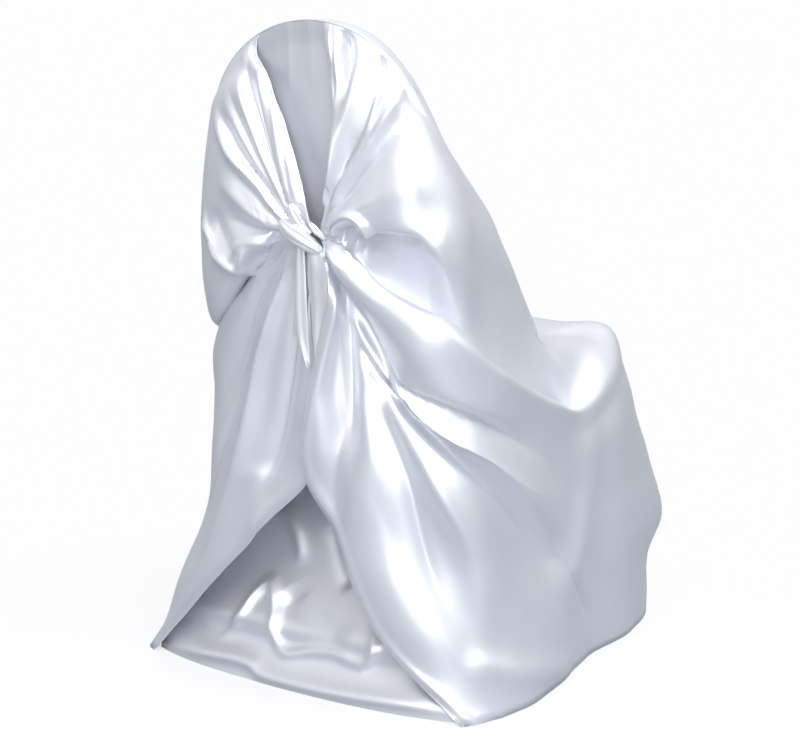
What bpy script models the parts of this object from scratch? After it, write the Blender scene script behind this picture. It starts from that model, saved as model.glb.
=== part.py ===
# Satin chair cover with a knotted sash, as it hangs on a round-backed banquet chair.
# The cover faces -Y, its knotted back faces +Y, and +X is the sitter's left.
# The tables give heights above the floor in metres; ORIGIN then moves everything so
# that the point under the crown, where a chair back carries the cover, is at 0, 0, 0.

import math

import bpy
import numpy as np

# Driving dimensions
CROWN_HEIGHT = 0.934
ARCH_FOOT_HEIGHT = 0.760
ARCH_HALF_WIDTH = 0.188
CROWN_MIDDLE_Y = 0.240
CROWN_HALF_DEPTH = 0.026
BAND_BELLY = {"right": 0.017, "left": 0.002}
KNOT = (-0.026, 0.3022, 0.643)
KNOT_FLAT = 0.042
FOLD_DEPTH = 1.35
CLOTH = 0.0014
SEAM_GAP = 0.0006
ORIGIN = (0.0, CROWN_MIDDLE_Y, CROWN_HEIGHT - CLOTH)

# How finely the sheets are divided, and how the crown seam pairs front and rear
HALF_COLUMNS = 44
FOOT_COLUMN = {"right": 24, "left": 27}
FOOT_ANGLE = {"right": 62.0, "left": 70.0}
STEPS_TO_NEXT_LINE = (2, 3, 2, 4, 2, 2, 2, 2, 1, 3, 3, 3, 1)
PANEL_COLUMNS = 22
PANEL_STEP = 0.045
PANEL_MARGIN = 0.003

# The main lines of the cloth from the hem up. A row is: share of the way from the
# middle of the front to a wing's free edge, distance out from the middle, y, height.
FRONT_LINES = {
    "hem": ((0.00, 0.000, -0.330, 0.000), (0.20, 0.140, -0.330, 0.000), (0.34, 0.262, -0.296, 0.000),
            (0.42, 0.290, -0.174, 0.000), (0.50, 0.290, -0.050, 0.000)),
    "low": ((0.00, 0.000, -0.318, 0.090), (0.20, 0.140, -0.318, 0.090), (0.34, 0.262, -0.294, 0.095),
            (0.42, 0.290, -0.172, 0.095), (0.50, 0.288, -0.045, 0.100)),
    "skirt": ((0.00, 0.000, -0.306, 0.180), (0.20, 0.140, -0.308, 0.180), (0.34, 0.284, -0.298, 0.165),
              (0.42, 0.296, -0.170, 0.180), (0.50, 0.286, -0.040, 0.195)),
    "wing": ((0.00, 0.000, -0.290, 0.290), (0.20, 0.140, -0.292, 0.290), (0.34, 0.264, -0.284, 0.260),
             (0.42, 0.288, -0.170, 0.270), (0.50, 0.282, -0.035, 0.260)),
    "crease": ((0.00, 0.000, -0.280, 0.390), (0.20, 0.140, -0.282, 0.390), (0.34, 0.240, -0.264, 0.370),
               (0.42, 0.281, -0.160, 0.345), (0.50, 0.281, -0.030, 0.310)),
    "rim": ((0.00, 0.000, -0.245, 0.472), (0.20, 0.130, -0.245, 0.472), (0.34, 0.222, -0.228, 0.468),
            (0.42, 0.266, -0.145, 0.420), (0.50, 0.272, -0.035, 0.378)),
    "dip": ((0.00, 0.000, -0.100, 0.468), (0.20, 0.120, -0.120, 0.466), (0.34, 0.172, -0.165, 0.462),
            (0.42, 0.222, -0.135, 0.452), (0.50, 0.250, -0.035, 0.360)),
    "wall": ((0.00, 0.000, 0.000, 0.474), (0.20, 0.115, -0.030, 0.474), (0.34, 0.176, -0.070, 0.470),
             (0.42, 0.206, -0.070, 0.464), (0.50, 0.224, -0.025, 0.430)),
    "lip": ((0.00, 0.000, 0.070, 0.500), (0.20, 0.110, 0.040, 0.505), (0.34, 0.175, 0.000, 0.500),
            (0.42, 0.198, -0.020, 0.495), (0.50, 0.205, -0.010, 0.500)),
    "breast": ((0.00, 0.000, 0.130, 0.660), (0.20, 0.100, 0.115, 0.660), (0.34, 0.165, 0.095, 0.660),
               (0.42, 0.188, 0.085, 0.660), (0.50, 0.197, 0.100, 0.660)),
    "top": ((0.00, 0.000, 0.180, 0.800), (0.20, 0.090, 0.180, 0.800), (0.34, 0.140, 0.180, 0.790),
            (0.42, 0.168, 0.185, 0.780), (0.50, 0.186, 0.200, 0.770)),
}
RIGHT_LINES = {
    "hem": ((0.58, 0.311, 0.079, 0.000), (0.66, 0.318, 0.168, 0.000), (0.74, 0.311, 0.228, 0.000),
            (0.84, 0.303, 0.255, 0.000), (0.93, 0.294, 0.280, 0.000), (1.00, 0.283, 0.301, 0.000)),
    "low": ((0.58, 0.303, 0.085, 0.100), (0.66, 0.300, 0.190, 0.100), (0.74, 0.272, 0.258, 0.100),
            (0.84, 0.236, 0.289, 0.100), (0.93, 0.193, 0.303, 0.100), (1.00, 0.150, 0.307, 0.100)),
    "skirt": ((0.58, 0.280, 0.100, 0.200), (0.66, 0.268, 0.215, 0.225), (0.74, 0.222, 0.277, 0.235),
              (0.84, 0.165, 0.300, 0.240), (0.93, 0.112, 0.308, 0.240), (1.00, 0.072, 0.309, 0.235)),
    "wing": ((0.58, 0.274, 0.110, 0.245), (0.66, 0.256, 0.232, 0.300), (0.74, 0.200, 0.285, 0.325),
             (0.84, 0.128, 0.305, 0.340), (0.93, 0.066, 0.312, 0.340), (1.00, 0.021, 0.309, 0.320)),
    "crease": ((0.58, 0.272, 0.115, 0.290), (0.66, 0.244, 0.228, 0.365), (0.74, 0.185, 0.270, 0.430),
               (0.84, 0.128, 0.276, 0.515), (0.93, 0.094, 0.292, 0.575), (1.00, 0.072, 0.312, 0.592)),
    "rim": ((0.58, 0.270, 0.090, 0.405), (0.66, 0.266, 0.215, 0.466), (0.74, 0.222, 0.280, 0.530),
            (0.84, 0.148, 0.298, 0.587), (0.93, 0.094, 0.303, 0.630), (1.00, 0.053, 0.302, 0.640)),
    "dip": ((0.58, 0.250, 0.080, 0.380), (0.66, 0.240, 0.190, 0.440), (0.74, 0.192, 0.240, 0.500),
            (0.84, 0.130, 0.264, 0.565), (0.93, 0.087, 0.290, 0.631), (1.00, 0.051, 0.301, 0.642)),
    "wall": ((0.58, 0.232, 0.100, 0.470), (0.66, 0.240, 0.228, 0.545), (0.74, 0.196, 0.258, 0.602),
             (0.84, 0.142, 0.270, 0.622), (0.93, 0.089, 0.292, 0.644), (1.00, 0.051, 0.302, 0.648)),
    "lip": ((0.58, 0.220, 0.130, 0.570), (0.66, 0.244, 0.240, 0.610), (0.74, 0.216, 0.292, 0.640),
            (0.84, 0.152, 0.306, 0.652), (0.93, 0.094, 0.306, 0.656), (1.00, 0.052, 0.302, 0.654)),
    "breast": ((0.58, 0.216, 0.165, 0.665), (0.66, 0.232, 0.235, 0.690), (0.74, 0.205, 0.290, 0.700),
               (0.84, 0.148, 0.308, 0.700), (0.93, 0.095, 0.306, 0.712), (1.00, 0.064, 0.303, 0.720)),
    "top": ((0.58, 0.194, 0.225, 0.780), (0.66, 0.186, 0.258, 0.800), (0.74, 0.160, 0.281, 0.820),
            (0.84, 0.118, 0.290, 0.840), (0.93, 0.080, 0.288, 0.852), (1.00, 0.053, 0.284, 0.860)),
}
LEFT_LINES = {
    "hem": ((0.58, 0.308, 0.090, 0.000), (0.66, 0.312, 0.180, 0.000), (0.74, 0.303, 0.238, 0.000),
            (0.84, 0.296, 0.268, 0.000), (0.93, 0.288, 0.290, 0.000), (1.00, 0.276, 0.308, 0.000)),
    "low": ((0.58, 0.298, 0.090, 0.100), (0.66, 0.285, 0.190, 0.100), (0.74, 0.262, 0.250, 0.100),
            (0.84, 0.238, 0.285, 0.100), (0.93, 0.208, 0.302, 0.100), (1.00, 0.178, 0.306, 0.100)),
    "skirt": ((0.58, 0.272, 0.100, 0.215), (0.66, 0.238, 0.200, 0.230), (0.74, 0.200, 0.255, 0.235),
              (0.84, 0.165, 0.287, 0.235), (0.93, 0.110, 0.300, 0.235), (1.00, 0.048, 0.302, 0.235)),
    "wing": ((0.58, 0.262, 0.110, 0.270), (0.66, 0.225, 0.205, 0.310), (0.74, 0.190, 0.255, 0.320),
             (0.84, 0.145, 0.282, 0.325), (0.93, 0.060, 0.291, 0.325), (1.00, -0.030, 0.289, 0.325)),
    "crease": ((0.58, 0.258, 0.110, 0.330), (0.66, 0.215, 0.210, 0.380), (0.74, 0.172, 0.262, 0.440),
               (0.84, 0.098, 0.284, 0.510), (0.93, 0.030, 0.291, 0.570), (1.00, -0.030, 0.293, 0.610)),
    "rim": ((0.58, 0.262, 0.090, 0.400), (0.66, 0.222, 0.200, 0.440), (0.74, 0.168, 0.262, 0.500),
            (0.84, 0.095, 0.283, 0.565), (0.93, 0.030, 0.293, 0.618), (1.00, -0.031, 0.300, 0.633)),
    "dip": ((0.58, 0.238, 0.080, 0.392), (0.66, 0.202, 0.180, 0.450), (0.74, 0.152, 0.242, 0.535),
            (0.84, 0.086, 0.272, 0.595), (0.93, 0.026, 0.291, 0.637), (1.00, -0.032, 0.301, 0.643)),
    "wall": ((0.58, 0.226, 0.110, 0.450), (0.66, 0.198, 0.206, 0.480), (0.74, 0.148, 0.254, 0.524),
             (0.84, 0.083, 0.277, 0.592), (0.93, 0.028, 0.295, 0.643), (1.00, -0.033, 0.302, 0.650)),
    "lip": ((0.58, 0.218, 0.140, 0.500), (0.66, 0.202, 0.226, 0.502), (0.74, 0.152, 0.290, 0.522),
            (0.84, 0.084, 0.306, 0.592), (0.93, 0.030, 0.305, 0.648), (1.00, -0.034, 0.302, 0.656)),
    "breast": ((0.58, 0.206, 0.170, 0.620), (0.66, 0.206, 0.235, 0.620), (0.74, 0.176, 0.284, 0.630),
               (0.84, 0.100, 0.307, 0.670), (0.93, 0.040, 0.306, 0.708), (1.00, -0.016, 0.303, 0.722)),
    "top": ((0.58, 0.190, 0.220, 0.770), (0.66, 0.182, 0.250, 0.795), (0.74, 0.160, 0.274, 0.820),
            (0.84, 0.125, 0.287, 0.842), (0.93, 0.088, 0.288, 0.855), (1.00, 0.055, 0.284, 0.865)),
}

# Folds that run out from the knot. A row is: side, angle above level in degrees near
# the knot and at the far end, where the fold starts and ends as a distance from the
# knot, how far it stands out, and its half width in degrees.
FOLDS = (
    ("left", 66.0, 66.0, 0.04, 0.28, 0.008, 4.5),
    ("left", 57.0, 61.0, 0.04, 0.27, -0.008, 4.0),
    ("left", 50.0, 51.0, 0.05, 0.25, 0.006, 4.0),
    ("left", 40.0, 43.0, 0.04, 0.22, -0.009, 4.0),
    ("left", 34.0, 37.0, 0.04, 0.20, 0.007, 4.5),
    ("left", 10.0, 18.0, 0.04, 0.13, -0.009, 9.0),
    ("left", -48.0, -50.0, 0.08, 0.36, -0.008, 8.0),
    ("left", -56.0, -68.0, 0.04, 0.40, 0.011, 5.0),
    ("left", -73.0, -77.0, 0.05, 0.32, -0.008, 4.0),
    ("right", 64.0, 70.0, 0.05, 0.23, 0.007, 4.0),
    ("right", 57.0, 63.0, 0.05, 0.26, -0.008, 4.0),
    ("right", 52.0, 53.0, 0.09, 0.27, 0.008, 4.0),
    ("right", 43.0, 46.0, 0.08, 0.23, -0.007, 6.0),
    ("right", 22.0, 26.0, 0.06, 0.24, 0.007, 12.0),
    ("right", -42.0, -37.0, 0.24, 0.42, -0.010, 3.5),
    ("right", -45.0, -66.0, 0.07, 0.20, -0.012, 5.0),
    ("right", -57.0, -76.0, 0.10, 0.52, 0.010, 6.0),
    ("right", -70.0, -82.0, 0.12, 0.48, -0.006, 3.5),
    ("right", -57.0, -63.0, 0.22, 0.52, -0.007, 4.0),
    ("right", -52.0, -55.0, 0.30, 0.52, 0.009, 4.0),
)

# The rear panel from the crown to the hem: height, how far it reaches to the left
# and to the right, and its y in the middle and at its sides.
PANEL_SECTIONS = (
    (0.905, 0.090, 0.046, 0.262, 0.257),
    (0.850, 0.078, 0.062, 0.262, 0.255),
    (0.750, 0.030, 0.080, 0.264, 0.260),
    (0.650, 0.010, 0.080, 0.266, 0.262),
    (0.550, 0.040, 0.090, 0.244, 0.240),
    (0.420, 0.110, 0.110, 0.216, 0.214),
    (0.300, 0.160, 0.150, 0.204, 0.204),
    (0.200, 0.200, 0.200, 0.218, 0.214),
    (0.135, 0.230, 0.230, 0.236, 0.226),
    (0.100, 0.242, 0.242, 0.262, 0.244),
    (0.075, 0.252, 0.252, 0.284, 0.258),
    (0.050, 0.260, 0.260, 0.284, 0.264),
    (0.020, 0.268, 0.270, 0.310, 0.284),
    (0.000, 0.272, 0.273, 0.322, 0.289),
)

# The sash's two ends below the knot: height, x of the left and right edges, y.
TAILS = {
    "sash_end_left": ((0.6230, -0.015, -0.0290, 0.3042), (0.590, -0.010, -0.0295, 0.3046),
                      (0.545, -0.006, -0.0310, 0.3046), (0.500, -0.006, -0.0330, 0.3040),
                      (0.465, -0.018, -0.0350, 0.3030)),
    "sash_end_right": ((0.6222, -0.033, -0.0570, 0.3052), (0.603, -0.034, -0.0690, 0.3083),
                       (0.585, -0.034, -0.0640, 0.3080), (0.545, -0.036, -0.0570, 0.3040),
                       (0.500, -0.038, -0.0490, 0.3025), (0.462, -0.040, -0.0450, 0.3015)),
}
TAIL_ARCH = 0.004
KNOT_START = (0.006, 0.6560)
KNOT_END = (-0.056, 0.6310)
KNOT_WIDTH = 0.032
KNOT_DEPTH = 0.022
KNOT_RINGS = 13
KNOT_SIDES = 16


def smooth(knots, values, at, level=()):
    """Values read from a smooth curve that passes through every row.

    The value columns listed in level start without a slope.
    """
    knots = np.asarray(knots, float)
    values = np.asarray(values, float)
    slopes = np.diff(values, axis=0) / np.diff(knots)[:, None]
    before = np.diff(knots)[:-1, None]
    after = np.diff(knots)[1:, None]
    inner = (slopes[:-1] * after + slopes[1:] * before) / (before + after)
    tangents = np.vstack((slopes[:1], inner, slopes[-1:]))
    tangents[0, list(level)] = 0.0
    span = np.clip(np.searchsorted(knots, at, side="right") - 1, 0, len(knots) - 2)
    length = knots[span + 1] - knots[span]
    t = ((at - knots[span]) / length)[:, None]
    length = length[:, None]
    return ((2 * t**3 - 3 * t**2 + 1) * values[span] + (t**3 - 2 * t**2 + t) * length * tangents[span]
            + (3 * t**2 - 2 * t**3) * values[span + 1] + (t**3 - t**2) * length * tangents[span + 1])


def ramp(value, low, high):
    """0 below low, 1 above high and a smooth rise between."""
    t = np.clip((value - low) / (high - low), 0.0, 1.0)
    return t * t * (3.0 - 2.0 * t)


def crown_points(side):
    """The brow and the crown seam for each column, as distance out, y and height."""
    foot = FOOT_COLUMN[side]
    column = np.arange(HALF_COLUMNS + 1)
    paired = np.where(column <= foot, column, 2 * foot - column)
    share = paired / foot
    front = column <= foot
    angle = np.radians(FOOT_ANGLE[side] * share)
    out = ARCH_HALF_WIDTH * np.sin(angle)
    height = ARCH_FOOT_HEIGHT + (CROWN_HEIGHT - ARCH_FOOT_HEIGHT) * np.cos(angle)
    depth = CROWN_HALF_DEPTH * np.sqrt(np.clip(1.0 - share**2, 0.0, 1.0))
    seam = np.stack((out, CROWN_MIDDLE_Y + depth, height), axis=-1)
    near_foot = share**3
    drop = np.where(front, 0.006, 0.022) * (1.0 - near_foot) + 0.027 * near_foot
    spread = np.where(front, 0.0, 0.003) * (1.0 - near_foot) + 0.013 * near_foot
    brow_y = CROWN_MIDDLE_Y + np.where(front, -depth, depth + 0.008 * (1.0 - near_foot))
    brow = np.stack((out + spread, brow_y, height - drop), axis=-1)
    return brow, seam


def band_line(crease, rim, share, stand):
    """The belly of the taut band, halfway between its lower crease and its rim."""
    middle = 0.5 * (crease + rim)
    outward = middle[:, :2] - np.array((0.0, 0.02))
    outward /= np.linalg.norm(outward, axis=1, keepdims=True)
    belly = stand * ramp(share, 0.48, 0.72) * (1.0 - 0.8 * ramp(share, 0.84, 1.0))
    middle[:, :2] += outward * belly[:, None]
    return middle


def half_grid(side, rear_lines):
    """One half of the cover as an array of points: line rows by columns."""
    at = np.linspace(0.0, 1.0, HALF_COLUMNS + 1)
    lines = []
    for name, front in FRONT_LINES.items():
        rows = np.array(front + rear_lines[name])
        lines.append(smooth(rows[:, 0], rows[:, 1:], at, level=(1, 2)))
        if name == "rim":
            lines.insert(-1, band_line(lines[-2], lines[-1], at, BAND_BELLY[side]))
    lines.extend(crown_points(side))
    keys = np.stack(lines)
    rows = []
    for column in range(keys.shape[1]):
        points = keys[:, column]
        gaps = np.linalg.norm(np.diff(points, axis=0), axis=1) ** 0.5
        knots = np.concatenate(((0.0,), np.cumsum(gaps)))
        stops = [np.linspace(knots[i], knots[i + 1], steps, endpoint=False)
                 for i, steps in enumerate(STEPS_TO_NEXT_LINE)]
        rows.append(smooth(knots, points, np.concatenate(stops + [knots[-1:]])))
    grid = np.stack(rows, axis=1)
    if side == "right":
        grid[..., 0] *= -1.0
    return grid


def normals_of(grid):
    """Outward directions of a grid of points."""
    along = np.gradient(grid, axis=1)
    up = np.gradient(grid, axis=0)
    normal = np.cross(up, along)
    return normal / np.maximum(np.linalg.norm(normal, axis=-1, keepdims=True), 1e-9)


def fold_heights(grid, side):
    """How far the folds about the knot push each point of one half outwards."""
    sign = -1.0 if side == "right" else 1.0
    out = sign * (grid[..., 0] - KNOT[0]) + 0.9 * np.maximum(KNOT[1] - grid[..., 1], 0.0)
    rise = grid[..., 2] - KNOT[2]
    reach = np.hypot(out, rise)
    angle = np.degrees(np.arctan2(rise, out))
    height = np.zeros(reach.shape)
    for fold_side, near_angle, far_angle, start, end, stand, half_width in FOLDS:
        if fold_side != side:
            continue
        way = np.clip((reach - start) / (end - start), 0.0, 1.0) ** 0.6
        centre = near_angle + (far_angle - near_angle) * way
        across = np.exp(-((angle - centre) / half_width) ** 2)
        along = ramp(reach, 0.03, 0.03 + start) * (1.0 - ramp(reach, 0.7 * end, end))
        height += FOLD_DEPTH * stand * across * along
    behind = ramp(grid[..., 1], 0.10, 0.20)
    return height * behind


def cover_grid():
    """The whole cover from the left wing's free edge round the front to the right one's."""
    left = half_grid("left", LEFT_LINES)
    right = half_grid("right", RIGHT_LINES)
    grid = np.concatenate((left[:, ::-1], right[:, 1:]), axis=1)
    normal = normals_of(grid)
    heights = np.concatenate((fold_heights(left, "left")[:, ::-1],
                              fold_heights(right, "right")[:, 1:]), axis=1)
    grid = grid + normal * heights[..., None]
    reach = np.hypot(grid[..., 0] - KNOT[0], grid[..., 2] - KNOT[2])
    flat = (1.0 - ramp(reach, KNOT_FLAT, 1.7 * KNOT_FLAT)) * (grid[..., 1] > KNOT[1] - 0.04)
    grid[..., 1] += flat * (KNOT[1] - grid[..., 1])
    return grid


def mesh_object(name, points, faces, collection, material):
    """A mesh object from points above the floor, moved to the frame's origin."""
    mesh = bpy.data.meshes.new(name)
    moved = np.asarray(points) - np.array(ORIGIN)
    mesh.from_pydata([tuple(p) for p in moved.tolist()], [], faces)
    mesh.shade_smooth()
    mesh.materials.append(material)
    piece = bpy.data.objects.new(name, mesh)
    collection.objects.link(piece)
    return piece


def thicken(piece):
    """Give a sheet its thickness, inwards from the modelled face."""
    solid = piece.modifiers.new("cloth", "SOLIDIFY")
    solid.thickness = CLOTH
    solid.offset = -1.0
    solid.use_rim = True


def satin(name, colour, roughness):
    material = bpy.data.materials.new(name)
    material.use_nodes = True
    shader = material.node_tree.nodes["Principled BSDF"]
    shader.inputs["Base Color"].default_value = (*colour, 1.0)
    shader.inputs["Roughness"].default_value = roughness
    shader.inputs["Metallic"].default_value = 0.0
    return material


def make_cover(collection, material):
    """Front, seat, sides, wings and hood as one sheet, closed along the crown seam."""
    grid = cover_grid()
    row_count, column_count = grid.shape[:2]
    index = np.arange(row_count * column_count).reshape(row_count, column_count)
    middle = HALF_COLUMNS
    for side, sign in (("left", -1), ("right", 1)):
        foot = FOOT_COLUMN[side]
        for column in range(foot, HALF_COLUMNS + 1):
            paired = min(2 * foot - column, foot - 1)
            index[-1, middle + sign * column] = index[-1, middle + sign * paired]
    faces = []
    for row in range(row_count - 1):
        for column in range(column_count - 1):
            corners = (index[row, column], index[row + 1, column],
                       index[row + 1, column + 1], index[row, column + 1])
            face = []
            for corner in corners:
                if int(corner) not in face:
                    face.append(int(corner))
            faces.append(face)
    used = sorted({corner for face in faces for corner in face})
    place = {corner: number for number, corner in enumerate(used)}
    points = grid.reshape(-1, 3)[used]
    faces = [[place[corner] for corner in face] for face in faces]
    piece = mesh_object("cover_body", points, faces, collection, material)
    thicken(piece)
    return piece


def panel_rows():
    """Heights of the rear panel's rows below the crown seam, closer near the floor."""
    heights = []
    height = PANEL_SECTIONS[0][0]
    while height > 0.13:
        heights.append(height)
        height -= PANEL_STEP
    return heights + [0.130, 0.110, 0.092, 0.075, 0.058, 0.042, 0.025, 0.010, 0.000]


def make_rear_panel(collection, material):
    """The plain panel that hangs from the crown seam behind the wings to the hem."""
    sections = np.array(PANEL_SECTIONS)[::-1]
    heights = np.array(panel_rows())
    values = smooth(sections[:, 0], sections[:, 1:], heights)
    across = np.linspace(1.0, -1.0, PANEL_COLUMNS + 1)
    rows = []
    reach = {}
    for side, foot in FOOT_COLUMN.items():
        open_share = (2 * foot - HALF_COLUMNS) / foot
        angle = math.radians(FOOT_ANGLE[side] * open_share)
        reach[side] = ARCH_HALF_WIDTH * math.sin(angle) - PANEL_MARGIN
    x = np.where(across > 0, across * reach["left"], across * reach["right"])
    crown = np.sqrt(1.0 - (x / ARCH_HALF_WIDTH) ** 2)
    z = ARCH_FOOT_HEIGHT + (CROWN_HEIGHT - ARCH_FOOT_HEIGHT) * crown
    y = np.full_like(x, CROWN_MIDDLE_Y + CROWN_HALF_DEPTH + SEAM_GAP + CLOTH)
    rows.append(np.stack((x, y, z), axis=-1))
    for height, (left, right, middle_y, side_y) in zip(heights, values):
        x = np.where(across > 0, across * left, across * right)
        y = middle_y + (side_y - middle_y) * np.abs(across) ** 3
        top_drop = (1.0 - crown) * ramp(height, 0.80, 0.905) * 0.16
        rows.append(np.stack((x, y, height - top_drop), axis=-1))
    grid = np.stack(rows)
    count = PANEL_COLUMNS + 1
    faces = []
    for row in range(len(rows) - 1):
        for column in range(PANEL_COLUMNS):
            first = row * count + column
            faces.append([first, first + count, first + count + 1, first + 1])
    piece = mesh_object("rear_panel", grid.reshape(-1, 3), faces, collection, material)
    thicken(piece)
    return piece


def make_sash_end(name, collection, material):
    """One hanging end of the sash: a narrow strip, bowed outwards along its middle."""
    rows = []
    across = np.linspace(0.0, 1.0, 5)
    sections = np.array(TAILS[name])[::-1]
    heights = np.linspace(sections[-1, 0], sections[0, 0], 13)
    for height, (left, right, y) in zip(heights, smooth(sections[:, 0], sections[:, 1:], heights)):
        bow = TAIL_ARCH * (1.0 - (2.0 * across - 1.0) ** 2)
        rows.append(np.stack((left + (right - left) * across, y + bow, np.full(5, height)), axis=-1))
    faces = []
    for row in range(len(rows) - 1):
        for column in range(4):
            first = row * 5 + column
            faces.append([first, first + 5, first + 6, first + 1])
    piece = mesh_object(name, np.concatenate(rows), faces, collection, material)
    thicken(piece)
    return piece


def make_knot(collection, material):
    """The sash's knot: a slanting wrapped lump, flat where it lies on the cloth."""
    start = np.array(KNOT_START)
    end = np.array(KNOT_END)
    along = (end - start) / np.linalg.norm(end - start)
    across = np.array((-along[1], along[0]))
    back = KNOT[1] + SEAM_GAP
    points = []
    for ring in range(KNOT_RINGS):
        t = (ring + 0.35) / (KNOT_RINGS - 0.3)
        swell = math.sin(math.pi * t) ** 0.4
        centre = start + (end - start) * t
        for side in range(KNOT_SIDES):
            angle = 2.0 * math.pi * side / KNOT_SIDES
            groove = 1.0 + 0.05 * math.cos(3.0 * angle + 5.0 * t)
            wide = 0.5 * KNOT_WIDTH * swell * groove * math.cos(angle)
            deep = max(KNOT_DEPTH * swell * groove * math.sin(angle), 0.0)
            place = centre + across * wide
            points.append((place[0], back + deep, place[1]))
    faces = []
    for ring in range(KNOT_RINGS - 1):
        for side in range(KNOT_SIDES):
            first = ring * KNOT_SIDES + side
            second = ring * KNOT_SIDES + (side + 1) % KNOT_SIDES
            faces.append([second, first, first + KNOT_SIDES, second + KNOT_SIDES])
    faces.append(list(range(KNOT_SIDES)))
    faces.append([(KNOT_RINGS - 1) * KNOT_SIDES + side for side in range(KNOT_SIDES)][::-1])
    return mesh_object("sash_knot", points, faces, collection, material)


def clear_scene():
    for item in list(bpy.data.objects):
        bpy.data.objects.remove(item, do_unlink=True)


def make_part():
    clear_scene()
    collection = bpy.data.collections.new("chair cover with sash")
    bpy.context.scene.collection.children.link(collection)
    cover_cloth = satin("cover satin", (0.80, 0.83, 0.90), 0.32)
    panel_cloth = satin("panel satin", (0.66, 0.70, 0.78), 0.36)
    make_cover(collection, cover_cloth)
    make_rear_panel(collection, panel_cloth)
    sash_cloth = satin("sash satin", (0.84, 0.87, 0.92), 0.30)
    make_knot(collection, sash_cloth)
    for name in TAILS:
        make_sash_end(name, collection, sash_cloth)


make_part()
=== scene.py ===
# The looks of a satin chair cover with its knotted sash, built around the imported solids.
# The cover faces -Y, its knotted back faces +Y, and +X is the sitter's left. The tables
# give heights above the floor in metres, and ORIGIN moves them into the model's frame.

import math

import bpy
import numpy as np
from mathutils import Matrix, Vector, noise


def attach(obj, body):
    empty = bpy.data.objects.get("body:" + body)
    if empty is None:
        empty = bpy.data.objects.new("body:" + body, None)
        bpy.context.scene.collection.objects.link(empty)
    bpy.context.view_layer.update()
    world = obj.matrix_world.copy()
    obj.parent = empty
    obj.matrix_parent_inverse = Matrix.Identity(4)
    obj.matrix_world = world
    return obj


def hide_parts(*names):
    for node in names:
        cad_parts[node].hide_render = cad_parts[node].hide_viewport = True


# Driving dimensions, the same as those of the solids
CROWN_HEIGHT = 0.934
ARCH_FOOT_HEIGHT = 0.760
ARCH_HALF_WIDTH = 0.188
CROWN_MIDDLE_Y = 0.240
CROWN_HALF_DEPTH = 0.026

# The brow of the crown: how far it lies below the seam and spreads out from it, at the
# front, at the hood and at the arch's feet, and how far the hood stands off behind.
BROW_DROP = {"front": 0.006, "hood": 0.022, "foot": 0.027}
BROW_SPREAD = {"front": 0.0, "hood": 0.003, "foot": 0.013}
HOOD_STAND_OFF = 0.008

# The belly of the taut band: its height, the point it swells away from, the shares of
# the way between which it grows and sinks, and how much of it sinks.
BAND_BELLY = {"right": 0.017, "left": 0.002}
BAND_CENTRE = (0.0, 0.02)
BAND_GROWS = (0.48, 0.72)
BAND_SINKS = (0.84, 1.0)
BAND_SUNK = 0.8

# The place of the knot on the cloth, which lies flat under it and blends out at the edge
KNOT = (-0.026, 0.3022, 0.643)
KNOT_FLAT = 0.022
KNOT_FLAT_EDGE = 2.2 * KNOT_FLAT
KNOT_FLAT_DEPTH = 0.04
CLOTH = 0.0014
ORIGIN = np.array((0.0, CROWN_MIDDLE_Y, CROWN_HEIGHT - CLOTH))

# Shortest length that is divided by
LEAST_LENGTH = 1e-9

# How finely the cloth is divided
COLUMN_FACTOR = 6
HALF_COLUMNS = 44 * COLUMN_FACTOR
FOOT_COLUMN = {"right": 24 * COLUMN_FACTOR, "left": 27 * COLUMN_FACTOR}
FOOT_ANGLE = {"right": 62.0, "left": 70.0}
ROWS_TO_NEXT_LINE = (9, 13, 10, 22, 10, 10, 8, 6, 5, 19, 27, 23, 5)
SPACING_POWER = 0.5

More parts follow.
